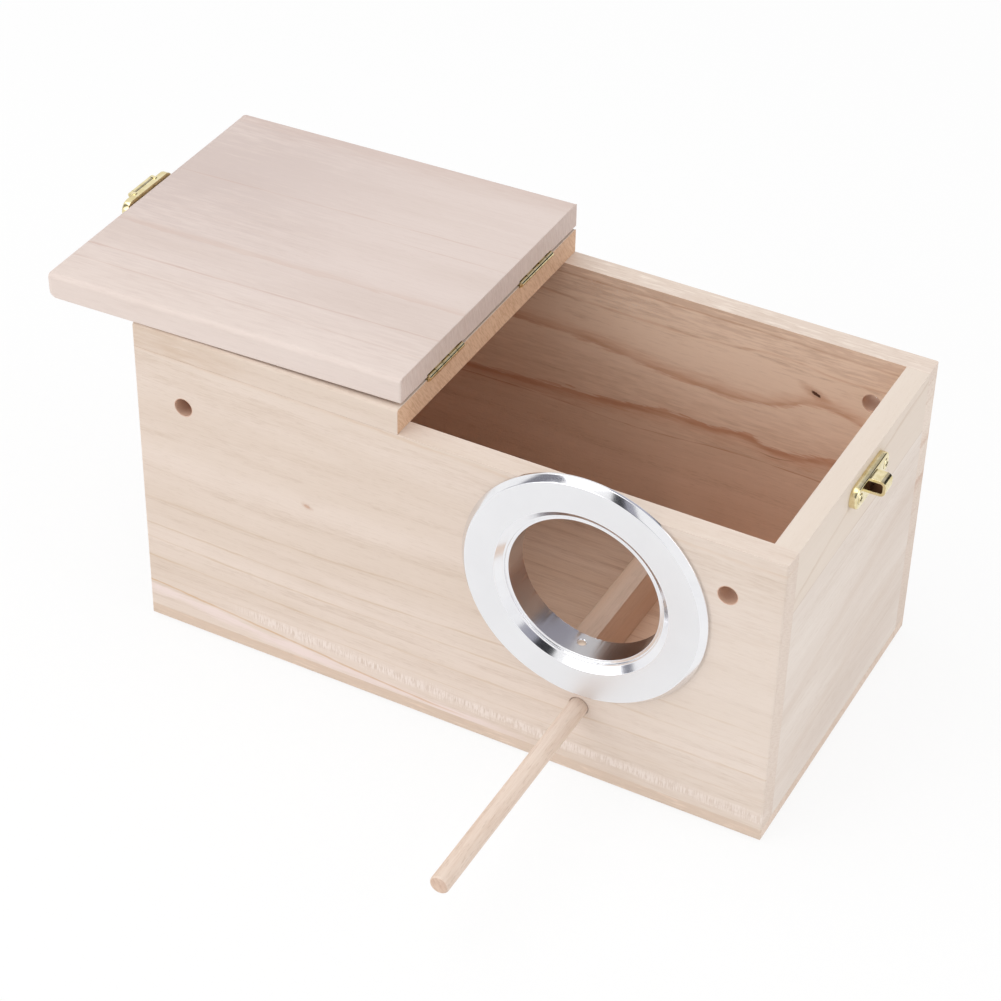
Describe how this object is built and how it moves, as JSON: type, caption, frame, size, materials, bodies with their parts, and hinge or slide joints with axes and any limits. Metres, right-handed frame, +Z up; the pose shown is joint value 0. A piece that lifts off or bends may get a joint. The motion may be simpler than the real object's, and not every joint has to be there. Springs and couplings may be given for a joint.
{
  "type": "bird breeding box",
  "caption": "Pale timber breeding box for small birds: hinged half lid folded open, turned metal entrance ring, round perch, low nest divider and a snap latch.",
  "frame": {"origin": "middle of the base's underside", "axes": "+X along the front to the right, towards the entrance and the keeper; +Y from the front to the back; +Z up"},
  "size_m": [0.359, 0.277, 0.1716],
  "materials": {
    "box_wood": "sanded bare timber, pale, satin to matt",
    "lid_wood": "sanded bare timber, pale and slightly pink",
    "perch_wood": "bare dowel, slightly rough",
    "turned_aluminium": "satin turned face with polished bevels",
    "brass_plate": "bright yellow plating"
  },
  "bodies": {
    "box": {"floor_board": "box_wood", "front_wall": "box_wood", "back_wall": "box_wood", "left_end": "box_wood", "right_end": "box_wood", "fixed_top": "box_wood", "nest_divider": "box_wood", "perch": "perch_wood", "entrance_ring": "turned_aluminium", "hinge_front_fixed_leaf": "brass_plate", "hinge_front_pin": "brass_plate", "hinge_front_fixed_screw_front": "brass_plate", "hinge_front_fixed_screw_back": "brass_plate", "hinge_back_fixed_leaf": "brass_plate", "hinge_back_pin": "brass_plate", "hinge_back_fixed_screw_front": "brass_plate", "hinge_back_fixed_screw_back": "brass_plate", "keeper_plate": "brass_plate", "keeper_screw_front": "brass_plate", "keeper_screw_back": "brass_plate"},
    "lid": {"lid": "lid_wood", "hinge_front_lid_leaf": "brass_plate", "hinge_front_lid_screw_front": "brass_plate", "hinge_front_lid_screw_back": "brass_plate", "hinge_back_lid_leaf": "brass_plate", "hinge_back_lid_screw_front": "brass_plate", "hinge_back_lid_screw_back": "brass_plate", "hasp_plate": "brass_plate", "hasp_screw_front": "brass_plate", "hasp_screw_back": "brass_plate", "hasp_pin": "brass_plate"},
    "tongue": {"hasp_tongue": "brass_plate"}
  },
  "joints": [
    {"name": "lid_hinge", "type": "hinge", "parent": "box", "child": "lid", "pos_m": [-0.0215, 0, 0.1592], "axis": [0, 1, 0], "range_deg": [0, 180.55]},
    {"name": "hasp_pivot", "type": "hinge", "parent": "lid", "child": "tongue", "pos_m": [-0.19729, 0, 0.16811], "axis": [0, 1, 0], "range_deg": [0, 180]}
  ]
}
